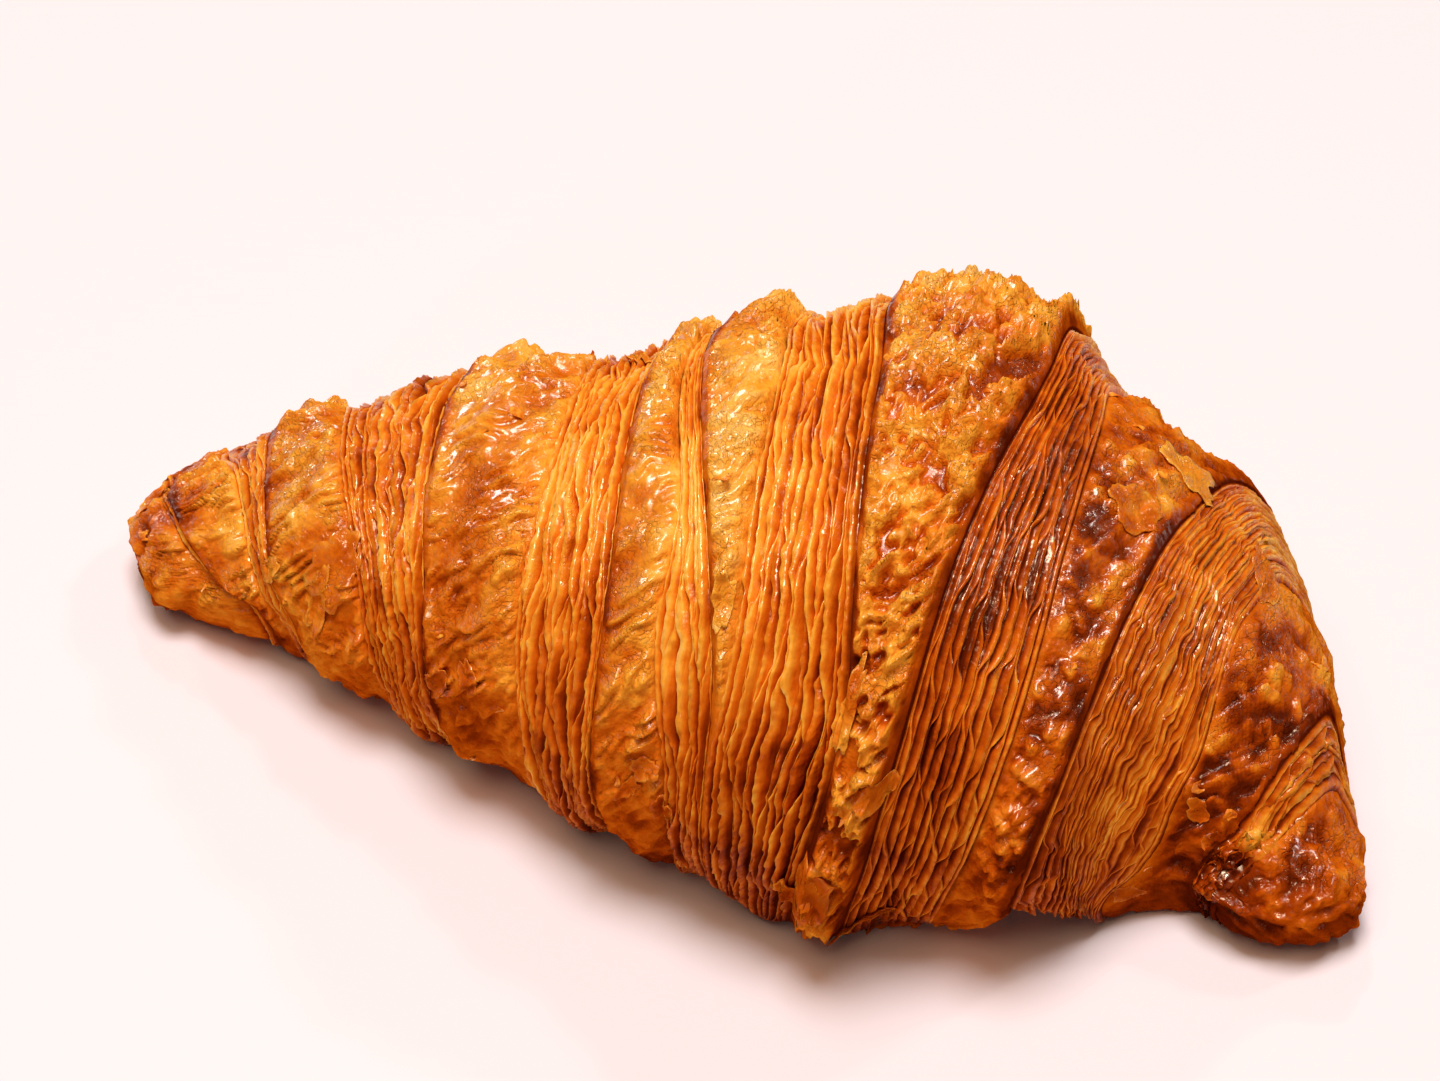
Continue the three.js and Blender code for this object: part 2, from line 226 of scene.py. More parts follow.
# Smooth seeded waves, one row for each leaf. A wave is: size, fewest and most to a turn.
def wander(rng, count, angle, waves):
    total = np.zeros((count, len(angle)))
    for size, low, high in waves:
        k = rng.uniform(low, high, (count, 1))
        phase = rng.uniform(0, 2 * math.pi, (count, 1))
        total += size * np.sin(np.radians(angle)[None, :] * k + phase)
    return total


# Seeded noise over the columns, smoothed over a few of them
def jitter(rng, count, reach):
    raw = rng.standard_normal((count, len(rolled) + 2 * reach))
    kernel = np.hanning(2 * reach + 3)[1:-1]
    kernel /= np.sqrt((kernel ** 2).sum())
    return np.array([np.convolve(row, kernel, "valid") for row in raw])


# How far a lip stands up: less where too little skin shows before it
def lipStrength(side, angle):
    gap = side["sign"] * (along(side["edge"], angle) - along(side["edge"], angle - turn))
    risen = ease((gap - along(side["cut"], angle - turn)) / lipNeedsSkin)
    return np.where(angle < turn, 1.0, risen)


# Widths of leaves, before they are scaled to fill the cut. Neighbours trade width, so blades start
# and end while those beside them stay straight.
def leafSizes(side, count, angle, rng):
    sway = side["sway"]
    sizes = np.exp(wander(rng, count, angle, [(0.25 * sway, 1, 3), (0.15 * sway, 4, 7)])
                   + rng.normal(0, 0.35 + 0.2 * sway, (count, 1)))
    pairs = (count - 1) // 2
    traded = 0.1 + 0.8 * ease(0.5 + 0.8 * wander(rng, pairs, angle, [(1, *side["blades"])]))
    first, second = slice(1, 2 * pairs, 2), slice(2, 2 * pairs + 1, 2)
    both = sizes[first] + sizes[second]
    sizes[first] = both * traded
    sizes[second] = both * (1 - traded)
    return sizes


# The leaves that gape and show their faces, and how far each gapes over the columns
def leafGapes(count, rng):
    gaping = rng.choice(count, max(1, count // 6), replace=False)
    gape = np.zeros((count, len(rolled)))
    for i in gaping:
        for _ in range(2):
            place, length = rng.uniform(10, 190), rng.uniform(7, 17)
            gape[i] += np.exp(-(((rolled - place) / length) ** 2))
    return gaping, gape


# Leaves hold together in slabs of two to four, given by the leaf that each slab ends before
def leafSlabs(count, rng):
    ends = np.unique(np.concatenate([np.cumsum(rng.integers(2, 5, count)), [count]]))
    return ends[ends <= count]


# One turn of the roll. Its rows run from the lip outwards, and each holds values over the columns.
class Turn:
    def __init__(self, side, k):
        self.side, self.k = side, k
        self.angle = rolled + k * turn
        self.last = k == len(side["leaves"]) - 1
        self.lip = along(side["edge"], self.angle)
        self.strength = lipStrength(side, self.angle)
        if self.last:
            following = side["sign"] * side["reach"] + 0 * self.angle
            self.nextStrength = 1 + 0 * self.angle
        else:
            following = along(side["edge"], self.angle + turn)
            self.nextStrength = lipStrength(side, self.angle + turn)
        self.gap = side["sign"] * (following - self.lip)
        self.cut = np.minimum(along(side["cut"], self.angle), self.gap - leastSkin)
        off = (rolled + 180) % turn - 180
        self.foot = stepFoot * (1 - trayShallowing * np.exp(-((off / traySpread) ** 2)))
        self.lipTop = mix(-self.foot, lipHeight, self.strength)
        self.lipFoot = self.lipTop - lipDrop * self.strength
        self.cutFoot = -self.foot + footDrop * self.nextStrength
        self.rows = []

    def row(self, out, height, cut=0, grooveShade=0, crest=0, lip=0, skin=0, tint=0):
        made = dict(s=self.lip + self.side["sign"] * out, height=height, cut=cut, grooveShade=grooveShade,
                    crest=crest, lip=lip, skin=skin, tint=tint)
        self.rows.append({name: value + 0 * rolled for name, value in made.items()})

    def addLip(self, rng):
        frayed = (lipFray * wander(rng, 1, self.angle, [(1, 8, 14), (0.8, 20, 30)])[0]
                  + lipNicks * jitter(rng, 1, 2)[0])
        if self.k > 0:
            self.row(frayed, self.lipTop, lip=self.strength)
        self.row(lipRun * 0.7 + frayed * (self.k > 0), mix(self.lipTop, self.lipFoot, 0.35),
                 lip=self.strength, cut=0.4)
        # The foot of the lip, with painted shade where the lip overhangs
        self.row(lipRun, self.lipFoot, cut=1, grooveShade=0.9, lip=self.strength)

    def addLeaves(self, rng):
        side, angle, run = self.side, self.angle, self.cut - lipRun
        count = side["leaves"][self.k]
        sizes = leafSizes(side, count, angle, rng)
        gaping, gape = leafGapes(count, rng)
        sizes *= 1 + side["gape"] * gape
        sizes = np.minimum(sizes, leaf["widest"] * sizes.mean(0))
        shares = sizes / sizes.sum(0)
        edges = np.concatenate([np.zeros((1, len(rolled))), np.cumsum(shares, 0)])
        widths = shares * run

        slabEnds = leafSlabs(count, rng)
        slabOf = np.searchsorted(slabEnds, np.arange(count), side="right")
        isEnd = np.isin(np.arange(count) + 1, slabEnds)
        waves = wander(rng, len(slabEnds), angle, [(0.7, 2, 5), (0.5, 7, 12)])
        slabRise = side["slab"] * (0.55 + 0.45 * ease(0.5 + waves))
        waves = wander(rng, count, angle, [(0.8, 3, 8), (0.5, 9, 18)])
        deep = np.where(isEnd, leaf["endDepth"], leaf["innerDepth"])[:, None]
        deep = deep * (0.6 + 0.4 * ease(0.5 + waves))
        deep = np.minimum(deep * np.minimum(widths / leaf["fullDepthWidth"], 1)
                          + 0.5 * np.minimum(gape, 1), leaf["deepest"])
        upwards = ease((np.sin(np.radians(rolled + tailAngle)) + 0.95) / 0.5)
        calm = leaf["flatUnderneath"] + (1 - leaf["flatUnderneath"]) * upwards
        deep = deep * calm * side["depth"]
        slabRise = slabRise * calm
        waves = wander(rng, count, angle, [(1, 1, 4), (0.6, 6, 12)])
        level = leaf["level"] * calm * waves * np.minimum(widths / leaf["fullLevelWidth"], 1)
        ragged = jitter(rng, count, 2)
        nicked = jitter(rng, count, 7)
        tints = rng.normal(0, 0.05, (count, 1)) + 0.05 * wander(rng, count, angle, [(1, 2, 5), (0.6, 7, 14)])
        seared = rng.choice(count, max(1, count // 5), replace=False)
        tints[seared] += leaf["sear"] * ease(0.6 + wander(rng, len(seared), angle, [(0.8, 2, 6)]))

        for i in range(count):
            profile = gapingLeaf if i in gaping else steppedLeaf if i % 2 else plainLeaf
            first = edges[slabEnds[slabOf[i] - 1]] if slabOf[i] > 0 else edges[0]
            beyond = edges[slabEnds[slabOf[i]]]
            rise = slabRise[slabOf[i]] * np.minimum((beyond - first) * run / leaf["slabFullWidth"], 1)
            overEdge = i == 0 or isEnd[i - 1]  # the leaf before it ends a slab
            overhang = leaf["endOverhang"] if isEnd[i] else leaf["innerOverhang"]
            for share, lift, grooveShade, crest in profile:
                at = edges[i] + shares[i] * share
                out = lipRun + run * at
                if crest == 1.0:
                    frays = (0.04 * ragged[i] + 0.06 * nicked[i]) * side["nicks"]
                    frays = np.clip(frays + overhang, leaf["leastOverhang"], leaf["mostOverhang"])
                    out = out + frays * np.minimum(widths[i] / 0.5, 1.3)
                within = np.clip((at - first) / (beyond - first), 0, 1)
                slope = mix(self.lipFoot, self.cutFoot, np.clip(at, 0, 1)) + level[i]
                slope = slope + rise * (within ** 1.4 - 0.55)
                rough = (0.07 * ragged[i] + 0.05 * nicked[i]) * side["nicks"] * calm * (crest > 0.5)
                depth = deep[i] if lift < 0 else np.minimum(deep[i], leaf["highest"])
                # Painted shade in the groove: darker where the leaf is deep and where the slab before it
                # ends
                shadeInGroove = grooveShade * np.clip((deep[i] + 0.5 * rise * overEdge) / 0.8, 0, 1)
                face = 0.5 * np.minimum(gape[i], 1) if 0.2 < share < 0.9 else 0
                self.row(out, slope + depth * lift + rough, cut=1, grooveShade=shadeInGroove, crest=crest,
                         skin=face, tint=tints[i])
        # The foot of the cut face, where the next skin starts, with painted shade in its crease
        self.row(self.cut + np.minimum(lipRun, (self.gap - self.cut) / 4), -self.foot, cut=0.6, grooveShade=0.9)

    def addSkin(self):
        bulge, count = self.side["bulge"][self.k], self.side["skinRows"][self.k]
        top = mix(-self.foot, bulge, self.nextStrength)
        end = bulge if self.last else mix(-self.foot, lipHeight, self.nextStrength)
        for j in range(1, count):
            share = j / count
            if self.last:
                share = min(1 - (1 - share) ** lastCrowding, lastShare)
            height = (-self.foot + (top + self.foot) * (1 - (1 - share) ** skinFullness)
                      - (top - end) * share ** skinFall)
            toLip, fromFoot = (self.gap - self.cut) * (1 - share), (self.gap - self.cut) * share
            glow, curl, fade = 0, 0, 1
            if not self.last:
                glow = np.exp(-((toLip / lipGlow) ** 2)) * self.nextStrength
                curl = lipCurl * np.exp(-((toLip / curlReach) ** 2)) * self.nextStrength
                fade = ease(toLip / lipFade)
            self.row(mix(self.cut, self.gap, share), height + curl, lip=glow,
                     skin=ease(fromFoot / footFade) * fade)


def turnRows(side, k, rng):
    made = Turn(side, k)
    made.addLip(rng)
    made.addLeaves(rng)
    made.addSkin()
    return made.rows


def bandHeight(s, angle):
    inward = np.minimum(s - along(leftEdge, angle), along(rightEdge, angle) - s)
    fall = bandBulge - lipHeight - bandShoulder
    return bandBulge - fall * np.exp(-np.maximum(inward, 0) / bandRound)


rng = np.random.default_rng(11)
leftTurns = [turnRows(left, k, rng) for k in range(len(left["leaves"]))]
rightTurns = [turnRows(right, k, rng) for k in range(len(right["leaves"]))]
rows, pieceOfRow = [], []
for made, piece in zip(reversed(leftTurns), reversed(left["pieces"])):
    rows += reversed(made)
    pieceOfRow += [piece] * len(made)
bandStart = len(rows)
bandLeft, bandRight = along(leftEdge, rolled), along(rightEdge, rolled)
for i in range(bandRows + 1):
    s = mix(bandLeft, bandRight, i / bandRows)
    inward = np.minimum(s - bandLeft, bandRight - s)
    rows.append(dict(s=s, height=bandHeight(s, rolled), cut=0 * s, grooveShade=0 * s, crest=0 * s, tint=0 * s,
                     lip=np.exp(-((inward / lipGlow) ** 2)), skin=ease(inward / lipFade)))
    pieceOfRow.append(bandPiece)
for made, piece in zip(rightTurns, right["pieces"]):
    rows += made
    pieceOfRow += [piece] * len(made)
field = {name: np.array([made[name] for made in rows]) for name in rows[0]}
pieceOfRow = np.array(pieceOfRow)
rowCount, columnCount = field["s"].shape

# At the tail the sheet rises from the band of the turn below
below = bandHeight(field["s"], rolled + turn)
onBand = (field["s"] > along(leftEdge, rolled + turn)) & (field["s"] < along(rightEdge, rolled + turn))
field["height"] = mix(np.where(onBand, below, field["height"]), field["height"], ease(rolled / tailRise))
degrees = (rolled + tailAngle)[None, :] + 0 * field["s"]
field["height"] = field["height"] + spots(pointedNub, field["s"], degrees)
points = crustPoint(field["s"], degrees, field["height"])
outward = crustPoint(field["s"], degrees, field["height"], 1.0) - points
print("crust rows and columns:", rowCount, columnCount)

# The mesh: quads between rows and columns, a zip where the turns meet at the tail, fans at the ends
vertexOf = np.arange(rowCount * columnCount).reshape(rowCount, columnCount)
ends = crustPoint(np.array([-leftReach, rightReach]), np.zeros(2), np.zeros(2))
flatPoints = np.concatenate([points.reshape(-1, 3), ends])
quads = np.stack([vertexOf[:-1, :-1], vertexOf[1:, :-1], vertexOf[1:, 1:], vertexOf[:-1, 1:]], -1)
quads = quads.reshape(-1, 4)
gapPiece = np.where(np.arange(rowCount - 1) < bandStart, pieceOfRow[1:], pieceOfRow[:-1])
quadPiece = np.repeat(gapPiece, columnCount - 1)


# Triangles between the last column and the first, taking the shorter way at each step
def zipTurns():
    faces, pieces = [], []
    end, a, b = rowCount - 1, 0, 0
    lastColumn, firstColumn = points[:, -1], points[:, 0]
    while a < end or b < end:
        onA = np.linalg.norm(lastColumn[a + 1] - firstColumn[b]) if a < end else math.inf
        onB = np.linalg.norm(lastColumn[a] - firstColumn[b + 1]) if b < end else math.inf
        pieces.append(gapPiece[min(a, end - 1)])
        third = vertexOf[a + 1, -1] if onA < onB else vertexOf[b + 1, 0]
        faces.append((vertexOf[a, -1], third, vertexOf[b, 0]))
        if onA < onB:
            a += 1
        else:
            b += 1
    return faces, pieces


def closeEnds():
    leftEnd, rightEnd = len(flatPoints) - 2, len(flatPoints) - 1
    faces = []
    for i in range(columnCount):
        j = (i + 1) % columnCount
        faces += [(leftEnd, vertexOf[0, i], vertexOf[0, j]), (rightEnd, vertexOf[-1, j], vertexOf[-1, i])]
    return faces, [0, len(pieceNames) - 1] * columnCount


def makeMesh(name, vertices, corners, sizes):
    mesh = bpy.data.meshes.new(name)
    mesh.vertices.add(len(vertices))
    mesh.vertices.foreach_set("co", np.asarray(vertices, np.float32).ravel())
    mesh.loops.add(len(corners))
    mesh.loops.foreach_set("vertex_index", np.asarray(corners, np.int32))
    mesh.polygons.add(len(sizes))
    starts = np.concatenate([[0], np.cumsum(sizes)[:-1]])
    mesh.polygons.foreach_set("loop_start", starts.astype(np.int32))
    mesh.update(calc_edges=True)
    return mesh


def setAttribute(mesh, name, values, kind="FLOAT"):
    made = mesh.attributes.new(name, kind, "POINT")
    key = "vector" if kind == "FLOAT_VECTOR" else "value"
    made.data.foreach_set(key, np.asarray(values, np.float32).ravel())


def readAttribute(mesh, name, width=1):
    values = np.empty(len(mesh.vertices) * width, np.float32)
    mesh.attributes[name].data.foreach_get("vector" if width == 3 else "value", values)
    return values.reshape(-1, width) if width > 1 else values


def readVectors(items, key):
    values = np.empty(len(items) * 3, np.float32)
    items.foreach_get(key, values)
    return values.reshape(-1, 3)


# Values of the grid as a list of vertices, with those of the two end points
def withEnds(values, atEnds=0.0):
    flat = values.reshape(rowCount * columnCount, -1)
    return np.concatenate([flat, np.full((2, flat.shape[1]), atEnds)])


zipped, zippedPiece = zipTurns()
closed, closedPiece = closeEnds()
corners = np.concatenate([quads.ravel(), np.array(zipped + closed).ravel()])
sizes = np.concatenate([np.full(len(quads), 4), np.full(len(zipped) + len(closed), 3)])
pieceOf = np.concatenate([quadPiece, zippedPiece, closedPiece])
whole = makeMesh("crustWhole", flatPoints * mm, corners, sizes)

# Where the crust is knobbly, glazed or browned, and where its tone paints shade: amount, place along,
# degrees round, length, spread
crags = [
    (1.0, 58, 75, 8, 75), (0.8, 35, 50, 8, 90), (0.2, -50, 95, 10, 50), (0.25, -66, 20, 12, 120),
    (0.5, -92, 0, 6, 400),
]
glazed = [
    (1.0, -20, 63, 9, 55), (0.9, -44, 78, 8, 50), (0.6, -70, 75, 8, 50), (0.6, 5, 75, 10, 60),
    (0.7, 35, 70, 12, 60),
]
# Darker or paler tone in spots. The spots over the right half and the band, and the big one low on the
# front, are partly real browning and partly painted shade; the paler spot on the left skin beside the band
# paints a sheen.
browning = [
    (0.16, 54, 60, 24, 130), (0.26, 25, 80, 8, 60), (0.14, 10, 100, 9, 50), (-0.14, -12, 75, 9, 40),
    (0.06, 12, 60, 12, 60), (0.36, 0, -22, 80, 42), (-0.08, -20, 65, 28, 50), (0.2, -18.5, 66, 3.5, 40),
    (-0.09, 25, 0, 10, 45), (0.06, 70, 30, 6, 400), (0.07, -62, 45, 9, 80), (0.22, -40, 55, 7, 60),
    (0.06, 66, -10, 10, 60), (0.07, 62, 35, 5, 60), (0.16, -92, 30, 8, 400), (0.08, 30, 70, 6, 60),
    (0.3, 70, 60, 5, 400),
]
leastCrag = 0.03
# Darker towards the floor, within bottomHeight mm: partly browning from the tray, partly painted shade where
# the crust turns under
baseBrown, bottomBrownAndShade, bottomHeight = 0.3, 0.3, 9
rightTip, rightTipFade, leftTip, leftTipFade = 13, 9, 9, 7  # lengths of the pinched ends

crag = np.clip(leastCrag + spots(crags, field["s"], degrees), 0, 1)
tip = (ease((field["s"] - rightReach + rightTip) / rightTipFade)
       + ease((-field["s"] - leftReach + leftTip) / leftTipFade))
isBand = 0 * field["s"]
isBand[bandStart:bandStart + bandRows + 1] = 1
heights = flatPoints[:-2, 2].reshape(rowCount, columnCount)
# Tone: base browning, the spots, and darkening towards the floor that is partly painted shade
brown = baseBrown + spots(browning, field["s"], degrees) + bottomBrownAndShade * (1 - ease(heights / bottomHeight))
arc = np.radians(rolled)[None, :] * radiusAt(field["s"].mean(1, keepdims=True))
setAttribute(whole, "outward", withEnds(outward), "FLOAT_VECTOR")
setAttribute(whole, "sheet", withEnds(np.stack([field["s"], arc, 0 * arc], -1)), "FLOAT_VECTOR")
for name in ("cut", "grooveShade", "crest", "lip", "skin", "tint"):
    setAttribute(whole, name, withEnds(field[name]))
setAttribute(whole, "band", withEnds(isBand * field["skin"]))
setAttribute(whole, "crag", withEnds(crag * field["skin"]))
setAttribute(whole, "tip", withEnds(tip, 1.0))
setAttribute(whole, "brown", withEnds(brown, 0.5))
setAttribute(whole, "glazed", withEnds(np.clip(spots(glazed, field["s"], degrees), 0, 1)))


# Short calls for building a node tree
class Graph:
    def __init__(self, tree):
        self.tree = tree

    def feed(self, node, inputs):
        for at, value in inputs.items():
            if isinstance(value, bpy.types.NodeSocket):
                self.tree.links.new(value, node.inputs[at])
            else:
                node.inputs[at].default_value = value

    def node(self, kind, inputs=None, **settings):
        made = self.tree.nodes.new(kind)
        for name, value in settings.items():
            setattr(made, name, value)
        self.feed(made, inputs or {})
        return made

    def given(self):
        return self.node("NodeGroupInput").outputs

    def calc(self, operation, *values, clamp=False):
        made = self.node("ShaderNodeMath", dict(enumerate(values)), operation=operation, use_clamp=clamp)
        return made.outputs[0]

    def times(self, a, b):
        return self.calc("MULTIPLY", a, b)

    def less(self, a, b, clamp=False):
        return self.calc("SUBTRACT", a, b, clamp=clamp)

    def total(self, *values):
        made = values[0]
        for value in values[1:]:
            made = self.calc("ADD", made, value)
        return made

    def ramp(self, value, low, high, toLow=0.0, toHigh=1.0):
        made = self.node("ShaderNodeMapRange", {0: value, 1: low, 2: high, 3: toLow, 4: toHigh},
                         interpolation_type="SMOOTHSTEP")
        return made.outputs[0]

    def vector(self, operation, *values):
        made = self.node("ShaderNodeVectorMath", dict(enumerate(values)), operation=operation)
        return made.outputs["Vector"]

    def stretched(self, at, x, y, z):
        return self.vector("MULTIPLY", at, (x, y, z))

    def scaled(self, at, factor):
        made = self.node("ShaderNodeVectorMath", {0: at, "Scale": factor}, operation="SCALE")
        return made.outputs["Vector"]

    def dot(self, at, way):
        made = self.node("ShaderNodeVectorMath", {0: at, 1: way}, operation="DOT_PRODUCT")
        return made.outputs["Value"]

    def part(self, at, axis):
        return self.node("ShaderNodeSeparateXYZ", {0: at}).outputs[axis]

    def joined(self, x=0.0, y=0.0, z=0.0):
        return self.node("ShaderNodeCombineXYZ", {0: x, 1: y, 2: z}).outputs[0]

    def noise(self, at, scale, detail=2.0, roughness=0.5):
        made = self.node("ShaderNodeTexNoise", {"Vector": at, "Scale": scale, "Detail": detail,
                                                "Roughness": roughness})
        return made.outputs[0]

    def cells(self, at, scale, feature, **inputs):
        made = self.node("ShaderNodeTexVoronoi", {"Vector": at, "Scale": scale, **inputs}, feature=feature)
        return made.outputs["Distance"]

    # The same place, shifted by noise
    def swirl(self, at, scale, amount):
        made = self.node("ShaderNodeTexNoise", {"Vector": at, "Scale": scale, "Detail": 1.0})
        off = self.vector("SUBTRACT", made.outputs["Color"], (0.5, 0.5, 0.5))
        return self.vector("ADD", at, self.scaled(off, amount))

    # A value kept on the mesh, as a Geometry Nodes tree reads it
    def kept(self, name, kind="FLOAT"):
        made = self.node("GeometryNodeInputNamedAttribute", {"Name": name}, data_type=kind)
        return made.outputs["Attribute"]


# A Geometry Nodes tree that takes a geometry, named numbers and a material
def geometryTree(name, inputs):
    tree = bpy.data.node_groups.new(name, "GeometryNodeTree")
    face = tree.interface
    face.new_socket("Geometry", in_out="INPUT", socket_type="NodeSocketGeometry")
    for key, value in inputs.items():
        kind = "NodeSocketInt" if isinstance(value, int) else "NodeSocketFloat"
        face.new_socket(key, in_out="INPUT", socket_type=kind).default_value = value
    face.new_socket("Material", in_out="INPUT", socket_type="NodeSocketMaterial")
    face.new_socket("Geometry", in_out="OUTPUT", socket_type="NodeSocketGeometry")
    return tree


# How strong each kind of relief is, in about millimetres, and the seed of its noise
relief = {"Lumps": 1.55, "Blisters": 0.3, "Grain": 0.1, "Wrinkles": 1.2, "Creases": 2.1, "Ridges": 2.0,
          "Film": 0.22, "Crags": 1.6, "Pleats": 1.7, "Beads": 0.4, "Seed": 4.0}
pleatSlant = math.radians(33)


# Low lumps everywhere, and slanted pleats where the skin is plain
def skinLumps(g, inMm, slanted, skin, plain, amount):
    lumps = g.less(g.noise(inMm, 0.12, 1.0), 0.5)
    pleats = g.noise(g.stretched(g.swirl(slanted, 0.12, 3.0), 0.3, 0.09, 0.3), 1.0, 1.5, 0.4)
    lumps = g.total(lumps, g.times(g.less(pleats, 0.5), g.ramp(plain, 0.0, 1.0, 0.1, 1.1)))
    return g.times(lumps, g.times(amount, g.ramp(skin, 0.0, 1.0, 0.5, 1.3)))


# Film that stands up in patches with rounded rims over pits, and a net of ridges between them
def filmRidges(g, onSheet, band, amount):
    film = g.noise(g.stretched(g.swirl(onSheet, 0.3, 2.0), 0.3, 0.18, 1.0), 1.0, 2.0, 0.5)
    patch = g.ramp(film, 0.41, 0.58)
    rim = g.ramp(g.calc("ABSOLUTE", g.less(film, 0.54)), 0.06, 0.0)
    net = g.cells(g.stretched(g.swirl(onSheet, 0.3, 3.0), 0.25, 0.17, 1.0), 1.0, "DISTANCE_TO_EDGE")
    net = g.times(g.ramp(net, 0.27, 0.0), g.ramp(g.noise(onSheet, 0.16, 2.0), 0.4, 0.52))
    ridges = g.total(g.times(g.less(patch, 0.6), 0.55), g.times(rim, 0.3), g.times(net, 0.8))
    return g.times(ridges, g.times(band, amount))


# Thin layers of film, torn off in steps
def tornFilm(g, onSheet, plain, amount):
    torn = g.noise(g.stretched(g.swirl(onSheet, 0.5, 1.5), 0.22, 0.15, 1.0), 1.0, 3.0, 0.6)
    steps = g.total(g.ramp(torn, 0.49, 0.515), g.ramp(torn, 0.56, 0.575))
    return g.times(steps, g.times(plain, amount))


# Blobs and pits of the knobbly skins
def cragBlobs(g, inMm, crag, amount):
    blobs = g.cells(g.swirl(inMm, 0.25, 3.0), 0.36, "SMOOTH_F1", Smoothness=0.12)
    return g.times(g.less(g.ramp(blobs, 0.6, 0.1), 0.5), g.times(crag, amount))


# Blisters, in patches
def skinBlisters(g, inMm, skin, amount):
    bubbles = g.cells(g.swirl(inMm, 0.3, 2.0), 0.55, "SMOOTH_F1", Smoothness=0.3)
    patches = g.ramp(g.noise(inMm, 0.1, 2.0), 0.5, 0.62)
    return g.times(g.times(g.ramp(bubbles, 0.5, 0.05), g.times(patches, skin)), amount)


def skinGrain(g, inMm, skin, amount):
    grain = g.less(g.noise(inMm, 0.8, 2.0, 0.6), 0.5)
    return g.times(grain, g.times(amount, g.ramp(skin, 0.0, 1.0, 0.7, 1.5)))


# Wrinkles, where the skin is crumpled
def skinWrinkles(g, inMm, slanted, plain, amount):
    folds = g.noise(g.stretched(g.swirl(slanted, 0.2, 2.0), 0.8, 0.18, 0.5), 1.0, 1.0)
    crumpled = g.ramp(g.noise(inMm, 0.07, 1.0), 0.42, 0.58)
    folds = g.times(g.less(folds, 0.5), g.times(crumpled, 2.0))
    return g.times(folds, g.times(amount, plain))


# Small pleats of the glazed film on the left side, each rising gently to a steep edge
def filmCreases(g, onSheet, slanted, facing, shown, amount):
    across = g.part(g.swirl(slanted, 0.14, 5.0), 0)
    shift = g.noise(g.stretched(slanted, 0.09, 0.04, 0.1), 1.0, 1.0)
    phase = g.calc("FRACT", g.total(g.times(across, 0.58), g.times(shift, 5.0)))
    creased = g.times(phase, g.ramp(phase, 1.0, 0.72))
    lasting = g.ramp(g.noise(g.stretched(slanted, 0.35, 0.08, 0.1), 1.0, 1.0), 0.42, 0.6)
    onLeft = g.times(g.ramp(g.part(onSheet, 0), 28.0, 12.0), g.ramp(facing, -0.35, 0.25))
    return g.times(g.times(g.times(creased, lasting), shown), g.times(amount, onLeft))


# Folds of the pinched ends. Under the seam they run one way, down to the right from the front, and
# over it they are soft.
def tipFolds(g, inMm, height, tip, amount):
    bent = g.swirl(inMm, 0.12, 5.0)
    acrossFolds = g.dot(bent, (0.346, 0.737, 0.582))
    alongFolds = g.dot(bent, (0.9, -0.09, -0.42))
    pleated = g.noise(g.joined(g.times(alongFolds, 0.1), g.times(acrossFolds, 0.75)), 1.0, 1.0)
    under = g.ramp(height, 9.5 * mm, 6.5 * mm)
    seam = g.ramp(g.calc("ABSOLUTE", g.less(height, 8.5 * mm)), 1.4 * mm, 0.0, 0.0, 0.5)
    folded = g.total(g.times(g.noise(bent, 0.22, 1.0), 2.6), g.times(g.noise(bent, 0.55, 1.0), 1.2), -1.9)
    pleated = g.total(g.times(g.less(pleated, 0.5), g.ramp(under, 0.0, 1.0, 0.5, 1.7)),
                      g.times(folded, g.less(1.0, under)), seam)
    return g.times(pleated, g.times(tip, amount))


# Small beads on the crests of the leaves
def crestBeads(g, inMm, crest, amount):
    return g.times(g.less(g.noise(inMm, 1.2, 0.0), 0.5), g.times(amount, crest))


